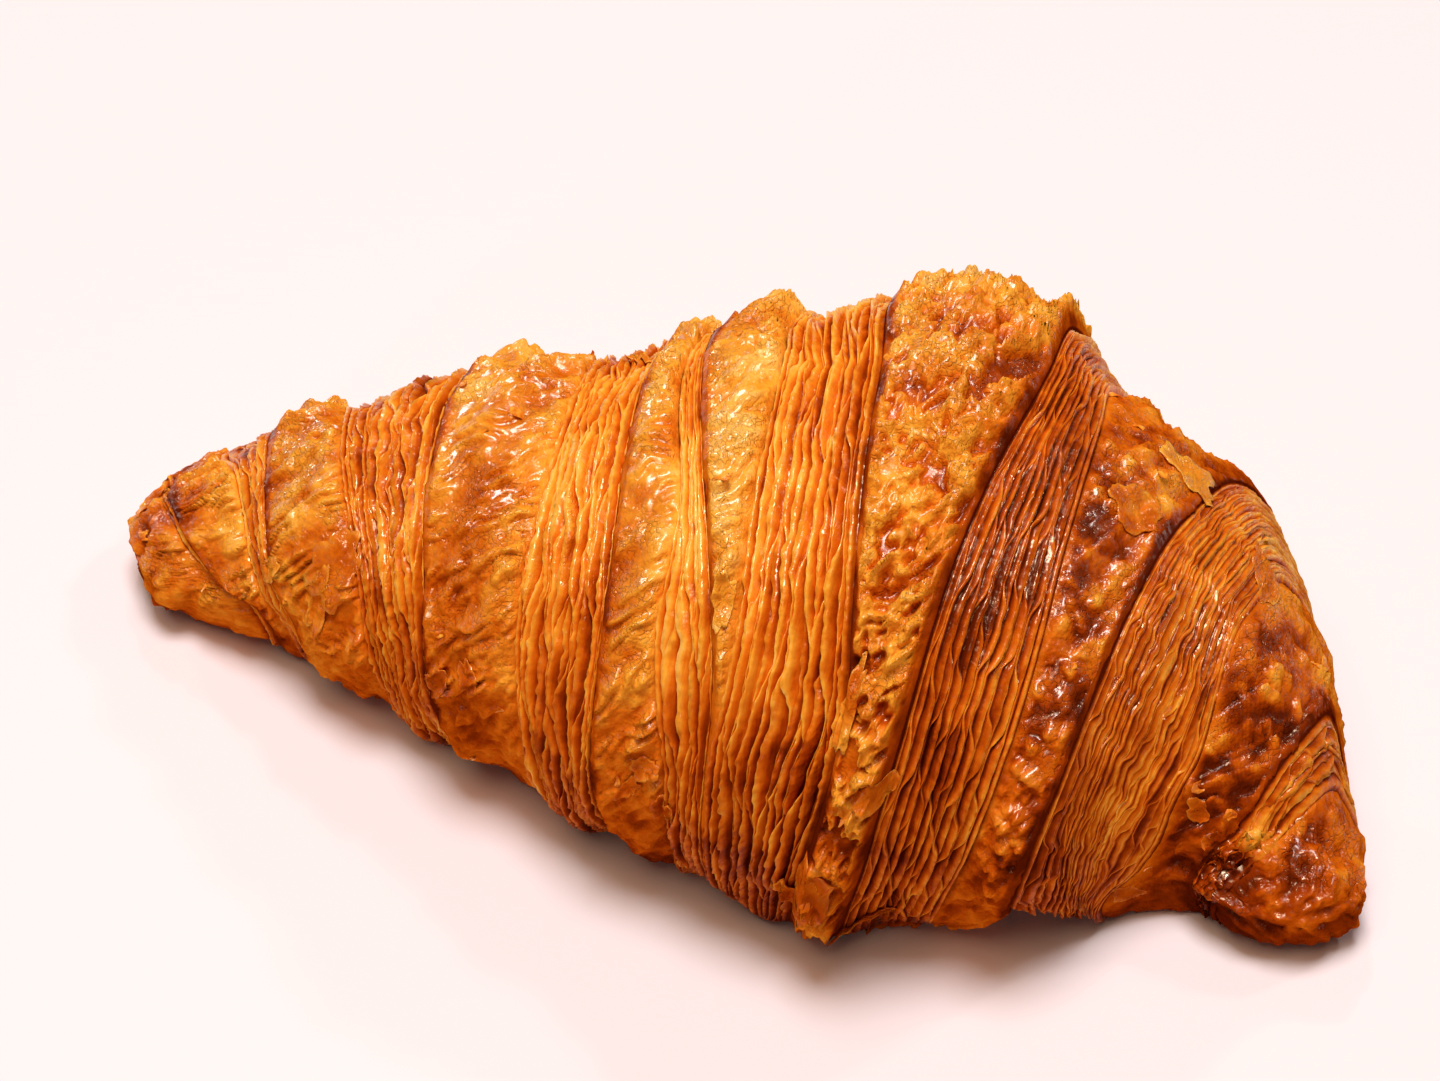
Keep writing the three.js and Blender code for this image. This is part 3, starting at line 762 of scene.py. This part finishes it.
# Fine relief: all of it pushes outwards, except that the folds of the ends push along the normal
def reliefTree():
    tree = geometryTree("crustRelief", relief)
    g = Graph(tree)
    given = g.given()
    place = g.node("GeometryNodeInputPosition").outputs[0]
    seed = g.joined(z=g.times(given["Seed"], 50.0))
    inMm = g.vector("ADD", g.scaled(place, perMetre), seed)
    onSheet = g.vector("ADD", g.kept("sheet", "FLOAT_VECTOR"), seed)
    slanted = g.node("ShaderNodeVectorRotate", {"Vector": onSheet, "Angle": pleatSlant},
                     rotation_type="Z_AXIS").outputs[0]
    outward = g.kept("outward", "FLOAT_VECTOR")
    facing, height = g.part(outward, 2), g.part(place, 2)
    skin, band, crag, tip = g.kept("skin"), g.kept("band"), g.kept("crag"), g.kept("tip")
    plain = g.less(skin, g.total(band, tip), clamp=True)

    raised = g.total(
        skinLumps(g, inMm, slanted, skin, plain, given["Lumps"]),
        skinBlisters(g, inMm, skin, given["Blisters"]),
        skinGrain(g, inMm, skin, given["Grain"]),
        skinWrinkles(g, inMm, slanted, plain, given["Wrinkles"]),
        filmRidges(g, onSheet, band, given["Ridges"]),
        tornFilm(g, onSheet, plain, given["Film"]),
        cragBlobs(g, inMm, crag, given["Crags"]),
        filmCreases(g, onSheet, slanted, facing, g.less(plain, crag, clamp=True), given["Creases"]),
        crestBeads(g, inMm, g.kept("crest"), given["Beads"]),
    )
    raised = g.times(raised, g.ramp(facing, -0.9, -0.1, 0.3, 1.0))  # calmer underneath
    raised = g.times(raised, g.ramp(g.kept("glazed"), 0.0, 1.0, 1.0, 0.6))
    pleated = tipFolds(g, inMm, height, tip, given["Pleats"])
    stored = g.node("GeometryNodeStoreNamedAttribute",
                    {"Geometry": given["Geometry"], "Name": "raised", "Value": g.total(raised, pleated)},
                    data_type="FLOAT", domain="POINT").outputs[0]
    pinch = g.scaled(g.node("GeometryNodeInputNormal").outputs[0], g.times(pleated, mm))
    push = g.vector("ADD", g.scaled(outward, g.times(raised, mm)), pinch)
    moved = g.node("GeometryNodeSetPosition", {"Geometry": stored, "Offset": push}).outputs[0]
    overFloor = g.joined(g.part(place, 0), g.part(place, 1), g.calc("MAXIMUM", height, 0.0))
    moved = g.node("GeometryNodeSetPosition", {"Geometry": moved, "Position": overFloor}).outputs[0]
    single = g.node("GeometryNodeRealizeInstances", {"Geometry": moved}).outputs[0]
    done = g.node("GeometryNodeSetMaterial", {"Geometry": single, "Material": given["Material"]}).outputs[0]
    g.node("NodeGroupOutput", {0: done})
    return tree


# Runs a tree on an object, and gives back the plain mesh it makes
def grown(thing, tree, values):
    modifier = thing.modifiers.new("tree", "NODES")
    modifier.node_group = tree
    for item in tree.interface.items_tree:
        if item.item_type == "SOCKET" and item.in_out == "INPUT" and item.name in values:
            modifier[item.identifier] = values[item.name]
    graph = bpy.context.evaluated_depsgraph_get()
    mesh = bpy.data.meshes.new_from_object(thing.evaluated_get(graph), depsgraph=graph)
    thing.modifiers.remove(modifier)
    return mesh


def shownObject(name, mesh):
    made = bpy.data.objects.new(name, mesh)
    bpy.context.scene.collection.objects.link(made)
    return made


# A piece of the crust moves with the one body, and stands for the CAD croissant
def crustPiece(name, mesh):
    piece = shownObject(name, mesh)
    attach(piece, "root")
    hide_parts("croissant")


# Tone of baked dough: 0 is pale and 1 is nearly burnt
bakeStops = [
    (0.0, (0.93, 0.48, 0.09)), (0.15, (0.87, 0.36, 0.03)), (0.3, (0.74, 0.235, 0.016)),
    (0.45, (0.65, 0.145, 0.006)), (0.6, (0.49, 0.08, 0.002)), (0.75, (0.3, 0.036, 0.001)),
    (1.0, (0.1, 0.01, 0.001)),
]


def bakeGroup():
    tree = bpy.data.node_groups.new("bakeTone", "ShaderNodeTree")
    tree.interface.new_socket("Tone", in_out="INPUT", socket_type="NodeSocketFloat")
    tree.interface.new_socket("Color", in_out="OUTPUT", socket_type="NodeSocketColor")
    g = Graph(tree)
    ramp = g.node("ShaderNodeValToRGB", {0: g.given()["Tone"]})
    while len(ramp.color_ramp.elements) < len(bakeStops):
        ramp.color_ramp.elements.new(0.5)
    for element, (at, colour) in zip(ramp.color_ramp.elements, bakeStops):
        element.position = at
        element.color = (*colour, 1)
    g.node("NodeGroupOutput", {0: ramp.outputs[0]})
    return tree


bakeTone = bakeGroup()
butteryTint = (1, 0.78, 0.55, 1)  # colour of the highlights


# A new material, the calls that build its nodes, and its surface
def newMaterial(name):
    material = bpy.data.materials.new(name)
    material.use_nodes = True
    return material, Graph(material.node_tree), material.node_tree.nodes["Principled BSDF"]


def baked(g, tone):
    return g.node("ShaderNodeGroup", {0: tone}, node_tree=bakeTone).outputs[0]


def crustTone(g, place, read):
    crest, cragged = read("crest"), read("crag")
    sheetAt = g.node("ShaderNodeAttribute", attribute_name="sheet").outputs["Vector"]
    patches = g.times(g.less(g.noise(place, 0.1, 3.0, 0.6), 0.5), 0.8)
    mottle = g.times(g.less(g.noise(place, 0.4, 2.0, 0.6), 0.5), 0.28)
    speckle = g.times(g.less(g.noise(place, 1.5, 3.0, 0.6), 0.5), -0.12)
    streaks = g.noise(g.stretched(sheetAt, 1.6, 0.08, 0.0), 1.0, 3.0, 0.6)
    streaks = g.times(g.less(streaks, 0.5), g.times(read("cut"), 0.4))
    tone = g.total(read("brown"), read("tint"), patches, mottle, speckle, streaks)
    # Painted shade in the grooves, under the lips and at the feet of the cut faces
    tone = g.total(tone, g.times(read("grooveShade"), 0.5))
    tone = g.total(tone, g.times(g.ramp(g.noise(place, 0.2, 2.0), 0.45, 0.62, 0.0, 0.26), cragged))
    # Painted highlight along the crests of the leaves and the rims of the laid flakes
    edge = g.ramp(g.noise(place, 0.9, 1.0), 0.35, 0.65, 0.08, 0.24)
    tone = g.less(tone, g.times(crest, edge))
    scorched = g.ramp(g.noise(place, 0.08, 1.0), 0.4, 0.58, 0.2, 0.5)
    tone = g.total(tone, g.times(read("lip"), scorched))
    # Paler where the relief stands up and darker in its hollows, most on the band and knobbly skins: partly
    # the thin film's paler colour, partly painted shade
    thinFilmAndShade = g.ramp(g.total(read("band"), cragged), 0.0, 1.0, 0.16, 0.32)
    return g.less(tone, g.times(g.calc("MINIMUM", read("raised"), 0.8), thinFilmAndShade), clamp=True)


# Beads and hairline cracks, too fine for the mesh
def crustBump(g, place, skin, upward):
    beads = g.times(g.noise(place, 1.3, 1.5, 0.5), g.ramp(skin, 0.0, 1.0, 0.3, 1.0))
    cracks = g.ramp(g.cells(g.swirl(place, 0.9, 1.0), 1.15, "DISTANCE_TO_EDGE"), 0.13, 0.0)
    crazed = g.ramp(g.noise(place, 0.13, 1.0), 0.4, 0.55, 0.1, 1.0)
    cracks = g.times(g.times(cracks, skin), g.times(crazed, g.ramp(upward, 0.3, 0.7, 0.2, 1.0)))
    beads = g.less(beads, g.times(cracks, 0.34))
    return g.node("ShaderNodeBump", {"Strength": 1.0, "Distance": 0.4 * mm, "Height": beads}).outputs[0]


# Highlights on beads of the skin and on the crests of the leaves, with a few sparks
def crustGlints(g, place, crest, upward):
    glints = g.ramp(g.noise(place, 1.1, 1.0), 0.46, 0.58, 0.08, 1.0)
    glints = g.times(glints, g.ramp(upward, 0.4, 0.8, 0.0, 1.0))
    glints = g.total(glints, g.times(crest, g.ramp(upward, 0.2, 0.75, 0.03, 0.6)))
    sparks = g.ramp(g.noise(place, 1.4, 1.0), 0.56, 0.62)
    sparks = g.times(sparks, g.ramp(g.noise(place, 0.3, 1.0), 0.4, 0.55, 0.2, 0.9))
    return g.calc("MAXIMUM", glints, g.times(sparks, g.times(crest, g.ramp(upward, 0.1, 0.5))))


# A thin egg glaze, in patches of the skin
def crustGlaze(g, place, skin, lip, glazed, upward):
    glaze = g.calc("ADD", g.ramp(g.noise(place, 0.11, 2.0), 0.4, 0.58, 0.1, 0.6), glazed, clamp=True)
    return g.times(glaze, g.times(g.ramp(g.less(skin, lip), 0.3, 1.0), g.ramp(upward, 0.45, 0.85)))


def crustMaterial():
    material, g, surface = newMaterial("browned crust")
    place = g.scaled(g.node("ShaderNodeTexCoord").outputs["Object"], perMetre)

    def read(name):
        return g.node("ShaderNodeAttribute", attribute_name=name).outputs["Fac"]

    skin, crest, upward = read("skin"), read("crest"), read("upward")
    rough = g.ramp(g.noise(place, 0.5, 2.0), 0.35, 0.65, 0.15, 0.34)
    g.feed(surface, {
        "Base Color": baked(g, crustTone(g, place, read)),
        "Roughness": g.less(rough, g.times(crest, 0.08)),
        "Normal": crustBump(g, place, skin, upward),
        "Specular IOR Level": crustGlints(g, place, crest, upward),
        "Specular Tint": butteryTint,
        "Coat Weight": crustGlaze(g, place, skin, read("lip"), read("glazed"), upward),
        "Coat Roughness": 0.21, "Coat IOR": 1.6,
        "Subsurface Weight": 0.08, "Subsurface Radius": (1, 0.35, 0.1), "Subsurface Scale": 0.8 * mm,
    })
    return material


backShade, backSlope = 0.8, 0.5


# How far a face is turned to the light: up, and less so to the back
def litShare(normals):
    return normals[:, 2] * (1 - backShade * ease(normals[:, 1] / backSlope))


crust = crustMaterial()
shape = shownObject("crustWhole", whole)
fine = grown(shape, reliefTree(), dict(relief, Material=crust))
bpy.data.objects.remove(shape)
finePoints = readVectors(fine.vertices, "co")
fineNormals = readVectors(fine.vertex_normals, "vector")
print("crust relief made:", len(fine.vertices))

marks = ("cut", "grooveShade", "crest", "lip", "skin", "tint", "band", "crag", "brown", "glazed", "raised")
for i, name in enumerate(pieceNames):
    chosen = pieceOf == i
    used, local = np.unique(corners[np.repeat(chosen, sizes)], return_inverse=True)
    mesh = makeMesh(name, finePoints[used], local, sizes[chosen])
    for key in marks:
        setAttribute(mesh, key, readAttribute(fine, key)[used])
    setAttribute(mesh, "upward", litShare(fineNormals)[used])
    setAttribute(mesh, "sheet", readAttribute(fine, "sheet", 3)[used], "FLOAT_VECTOR")
    mesh.normals_split_custom_set_from_vertices(fineNormals[used].tolist())
    mesh.materials.append(crust)
    crustPiece(name, mesh)
    print(name, "triangles:", int((sizes[chosen] - 2).sum()))


# Loose flakes: place along, degrees round, length and width in mm, turn in degrees, curl in mm, tint
flakes = dict(
    rings=7, spokes=40, thickness=0.15, gap=0.1, squareness=3, ripple=0.1, ripples=5, skin=0.6, brown=0.36,
    laid=[
        (39.5, 116, 6, 4, 20, 1.0, -0.16), (60.5, 52, 3.0, 2.2, 50, 1.3, -0.04),
        (55.5, -22, 5, 3.5, 20, 0.6, -0.02), (14.5, 29, 11, 2.2, 85, 0.6, -0.14),
        (19.5, 14, 4.5, 3, 60, 0.9, -0.06), (12.5, -14, 10, 5, 80, 0.9, -0.06),
        (9, -20, 9, 2.6, 100, 0.8, -0.12), (-59.5, 35, 10, 7, 70, 0.8, -0.02),
        (-61, 22, 9, 3, 85, 0.7, -0.06), (-3, 43, 6.5, 2.2, 95, 1.0, -0.12),
        (-10, 4, 4, 3, 30, 0.6, -0.03), (-7.5, -6, 4.5, 2.6, 100, 0.6, -0.04),
        (-12, -2, 3.6, 2, 60, 0.6, 0), (37, 92, 6, 5, 40, 0.7, 0),
        (-41, 8, 5, 3, 50, 0.7, 0), (-36, 14, 4.5, 2.4, 120, 0.7, -0.04),
        (-70, 30, 4.5, 3, 30, 0.6, -0.04), (48, 120, 4.5, 3, 100, 0.7, 0),
        (-30, 120, 5, 3, 10, 0.7, 0), (5, 150, 6, 3.4, 70, 0.8, 0),
        (22, 170, 5, 3.4, 40, 0.8, 0), (-50, 160, 5, 3.4, 90, 0.7, 0),
        (17, -34, 7, 1.2, 15, 1.2, 0.1),
    ])
probe = 8  # how far above and below the crust a flake looks for it, in mm


# A squarish outline with a wavy edge, as torn film has: angles, and reach at each
def flakeOutline(rng, spokes):
    angle = np.linspace(0, 2 * math.pi, spokes, endpoint=False)
    power = flakes["squareness"]
    reach = (np.abs(np.cos(angle)) ** power + np.abs(np.sin(angle)) ** power) ** (-1 / power)
    waves = ((0.06, 2), (0.09, 3), (0.08, 5), (0.06, 8))
    reach = reach * (1 + sum(size * np.sin(k * angle + rng.uniform(0, 6)) for size, k in waves))
    return angle, reach * (1 + rng.normal(0, 0.04, spokes))


# Two sheets over the same outline, joined at the rim, as one closed flake
def flakeFaces(rings, spokes, start):
    faces = []
    count = 1 + rings * spokes
    for j in range(spokes):
        n = (j + 1) % spokes
        for top in (True, False):
            base = start if top else start + count
            inner = [(base, base + 1 + j, base + 1 + n)]
            for r in range(rings - 1):
                a, b = base + 1 + r * spokes, base + 1 + (r + 1) * spokes
                inner += [(a + j, b + j, b + n), (a + j, b + n, a + n)]
            faces += inner if top else [face[::-1] for face in inner]
        rim = start + 1 + (rings - 1) * spokes
        low = rim + count
        faces += [(rim + j, low + j, low + n), (rim + j, low + n, rim + n)]
    return faces


# Height of the crust's surface over its smooth form, in mm, at each place
def crustHeights(s, around, surface):
    far, near = crustPoint(s, around, 0 * s + probe), crustPoint(s, around, 0 * s - probe)
    height = np.zeros(len(s))
    for i in range(len(s)):
        start, way = Vector(far[i] * mm), Vector((near[i] - far[i]) * mm)
        hit = surface.ray_cast(start, way, way.length)
        height[i] = probe - 2 * probe * (hit[3] / way.length) if hit[0] else 0
    return height


def layFlake(spec, surface, rng):
    place, face, length, width, spin, curl, tint = spec
    rings, spokes = flakes["rings"], flakes["spokes"]
    angle, reach = flakeOutline(rng, spokes)
    share = np.linspace(1 / rings, 1, rings)[:, None]
    u = np.concatenate([[0], (share * reach * np.cos(angle)).ravel()])
    v = np.concatenate([[0], (share * reach * np.sin(angle)).ravel()])
    radial = np.concatenate([[0], np.repeat(share[:, 0], spokes)])
    spun = math.radians(spin)
    a = u * length / 2 * math.cos(spun) - v * width / 2 * math.sin(spun)
    b = u * length / 2 * math.sin(spun) + v * width / 2 * math.cos(spun)
    s, around = place + a, face + np.degrees(b / radiusAt(place))
    height = crustHeights(s, around, surface)
    terms = np.stack([0 * u + 1, u, v, u * u, u * v, v * v], -1)
    smooth = terms @ np.linalg.lstsq(terms, height, rcond=None)[0]
    curledSide = np.clip(u * math.cos(spin) + v * math.sin(spin), 0, 1)  # a side of its own for each flake
    lift = curl * (0.25 * radial ** 2 + 0.75 * curledSide ** 2)
    draped = np.maximum(mix(smooth, height, 0.5), height) + flakes["gap"] + lift
    draped = draped + flakes["ripple"] * radial * np.sin(flakes["ripples"] * np.arctan2(v, u) + spin)
    top = crustPoint(s, around, draped)
    bottom = crustPoint(s, around, draped - flakes["thickness"])
    shade = spots(browning, s, around) + tint
    return np.concatenate([top, bottom]), np.tile(radial, 2), np.tile(shade, 2)


surface = BVHTree.FromPolygons(finePoints.astype(float).tolist(), quads.tolist())
rng = np.random.default_rng(5)
flakePoints, flakeRims, flakeTints, flakeTriangles = [], [], [], []
for spec in flakes["laid"]:
    laidPoints, rims, tints = layFlake(spec, surface, rng)
    flakeTriangles += flakeFaces(flakes["rings"], flakes["spokes"], sum(len(made) for made in flakePoints))
    flakePoints.append(laidPoints)
    flakeRims.append(rims)
    flakeTints.append(tints)
flakesMesh = makeMesh("flakesLaid", np.concatenate(flakePoints) * mm, np.array(flakeTriangles).ravel(),
                      np.full(len(flakeTriangles), 3))
rim = np.concatenate(flakeRims)
flakeNormals = readVectors(flakesMesh.vertex_normals, "vector")
flakeMarks = {name: 0 * rim for name in ("cut", "grooveShade", "lip", "band", "raised", "crag")}
# Flake rims count as crests, so they get the crests' painted highlight as well as glints
flakeMarks.update(crest=rim ** 6, tint=np.concatenate(flakeTints), skin=0 * rim + flakes["skin"],
                  brown=0 * rim + flakes["brown"], upward=litShare(flakeNormals))
for key, values in flakeMarks.items():
    setAttribute(flakesMesh, key, values)
setAttribute(flakesMesh, "sheet", np.zeros((len(rim), 3)), "FLOAT_VECTOR")
flakesMesh.polygons.foreach_set("use_smooth", np.ones(len(flakesMesh.polygons), bool))
flakesMesh.materials.append(crust)
crustPiece("flakesLaid", flakesMesh)
print("flakes laid:", len(flakes["laid"]))

# Small flakes on the skins, strewn by a seeded tree: millimetres, and points to the square metre
scattered = {"Spacing": 2.5, "Density": 9000.0, "Size": 0.7, "Thickness": 0.1, "Seed": 3}


def scatterTree():
    tree = geometryTree("flakeScatter", scattered)
    g = Graph(tree)
    given = g.given()
    place = g.scaled(g.node("GeometryNodeInputPosition").outputs[0], perMetre)
    patchy = g.ramp(g.noise(place, 0.07, 1.0), 0.42, 0.6, 0.1, 1.0)
    share = g.times(g.ramp(g.kept("skin"), 0.5, 0.9), patchy)
    share = g.times(share, g.ramp(g.part(place, 2), 3.0, 8.0))  # none near the floor
    strewn = g.node("GeometryNodeDistributePointsOnFaces",
                    {"Mesh": given["Geometry"], "Distance Min": g.times(given["Spacing"], mm),
                     "Density Max": given["Density"], "Density Factor": share, "Seed": given["Seed"]},
                    distribute_method="POISSON").outputs
    flake = g.node("GeometryNodeMeshCylinder",
                   {"Vertices": 11, "Side Segments": 1, "Fill Segments": 2,
                    "Radius": g.times(given["Size"], mm), "Depth": g.times(given["Thickness"], mm)},
                   fill_type="TRIANGLE_FAN").outputs["Mesh"]

    def between(low, high):
        return g.node("FunctionNodeRandomValue", {0: low, 1: high, "Seed": given["Seed"]},
                      data_type="FLOAT_VECTOR").outputs[0]

    tilted = between((-0.2, -0.2, 0.0), (0.2, 0.2, 6.28))
    spin = g.node("FunctionNodeEulerToRotation", {0: tilted}).outputs[0]
    turned = g.node("FunctionNodeRotateRotation", {0: strewn["Rotation"], 1: spin},
                    rotation_space="LOCAL").outputs[0]
    placed = g.node("GeometryNodeInstanceOnPoints",
                    {"Points": strewn["Points"], "Instance": flake, "Rotation": turned,
                     "Scale": between((0.7, 0.4, 1.0), (2.2, 1.2, 1.0))}).outputs[0]
    single = g.node("GeometryNodeRealizeInstances", {"Geometry": placed}).outputs[0]
    wobble = g.node("ShaderNodeTexNoise", {"Vector": place, "Scale": 0.9, "Detail": 1.0}).outputs["Color"]
    wobble = g.scaled(g.vector("SUBTRACT", wobble, (0.5, 0.5, 0.5)), 1.6 * mm)
    bent = g.node("GeometryNodeSetPosition", {"Geometry": single, "Offset": wobble}).outputs[0]
    done = g.node("GeometryNodeSetMaterial", {"Geometry": bent, "Material": given["Material"]}).outputs[0]
    g.node("NodeGroupOutput", {0: done})
    return tree


def flakeMaterial():
    material, g, surface = newMaterial("loose flakes")
    place = g.scaled(g.node("ShaderNodeTexCoord").outputs["Object"], perMetre)
    patches = g.ramp(g.noise(place, 0.3, 2.0), 0.35, 0.65, 0.2, 0.42)
    tone = g.total(patches, g.noise(place, 1.4, 2.0), -0.5)
    g.feed(surface, {"Base Color": baked(g, g.calc("ADD", tone, 0.02, clamp=True)), "Roughness": 0.3,
                     "Specular IOR Level": 0.3, "Specular Tint": butteryTint})
    return material


strewnOn = shownObject("strewnOn", fine)
smallFlakes = grown(strewnOn, scatterTree(), dict(scattered, Material=flakeMaterial()))
bpy.data.objects.remove(strewnOn)
crustPiece("flakesSmall", smallFlakes)
print("small flakes, faces:", len(smallFlakes.polygons))

# Floor, light and camera, in metres
floorReach = 3.0
floorMesh = makeMesh("floor", [(-floorReach, -floorReach, 0), (floorReach, -floorReach, 0),
                               (floorReach, floorReach, 0), (-floorReach, floorReach, 0)], [0, 1, 2, 3], [4])
floorPaint, floorGraph, floorSurface = newMaterial("pale floor")
floorGraph.feed(floorSurface, {"Base Color": (0.845, 0.77, 0.82, 1), "Roughness": 0.9})
floorMesh.materials.append(floorPaint)
floor = shownObject("floor", floorMesh)

lightAim = (0, 0, 0.03)
lights = {
    "key": dict(place=(0.04, -0.11, 1.5), size=0.62, watts=18.4, colour=(0.98, 0.99, 1)),
    "front": dict(place=(-0.05, -0.5, 1.4), size=1.0, watts=8.8, colour=(1, 0.69, 0.43)),
}
# Small lamps that make glints in the glaze, each in its own direction
glintWays = [(-0.24, 0.55, 0.8), (-0.81, 0.53, 0.26), (0.48, 0.48, 0.73), (-0.3, -0.94, 0.16)]
glintDistance, glintSize, glintWatts, glintColour = 1.2, 0.09, 1.3, (1, 0.93, 0.86)


def areaLight(name, place, size, watts, colour):
    data = bpy.data.lights.new(name, "AREA")
    data.shape, data.size, data.energy, data.color = "DISK", size, watts, colour
    lamp = bpy.data.objects.new(name, data)
    lamp.location = place
    lamp.rotation_euler = (Vector(lightAim) - Vector(place)).to_track_quat("-Z", "Y").to_euler()
    bpy.context.scene.collection.objects.link(lamp)


for name, light in lights.items():
    areaLight(name, **light)
for i, way in enumerate(glintWays):
    areaLight("glint" + str(i), [glintDistance * c for c in way], glintSize, glintWatts, glintColour)
world = bpy.data.worlds.new("studio")
world.use_nodes = True
world.node_tree.nodes["Background"].inputs["Color"].default_value = (1, 0.7, 0.45, 1)
world.node_tree.nodes["Background"].inputs["Strength"].default_value = 0.05
bpy.context.scene.world = world
bpy.context.scene.view_settings.view_transform = "Standard"

azimuth, elevation, distance = math.radians(21.08), math.radians(44), 0.49587
target = Vector((-0.002357, -0.001087, 0.029233))
back = Vector((math.sin(azimuth) * math.cos(elevation), -math.cos(azimuth) * math.cos(elevation),
               math.sin(elevation)))
lens = bpy.data.cameras.new("camera")
lens.lens, lens.sensor_width = 100, 36
camera = bpy.data.objects.new("camera", lens)
camera.location = target + back * distance
camera.rotation_euler = (-back).to_track_quat("-Z", "Y").to_euler()
bpy.context.scene.collection.objects.link(camera)
bpy.context.scene.camera = camera
print("floor, lights and camera set")
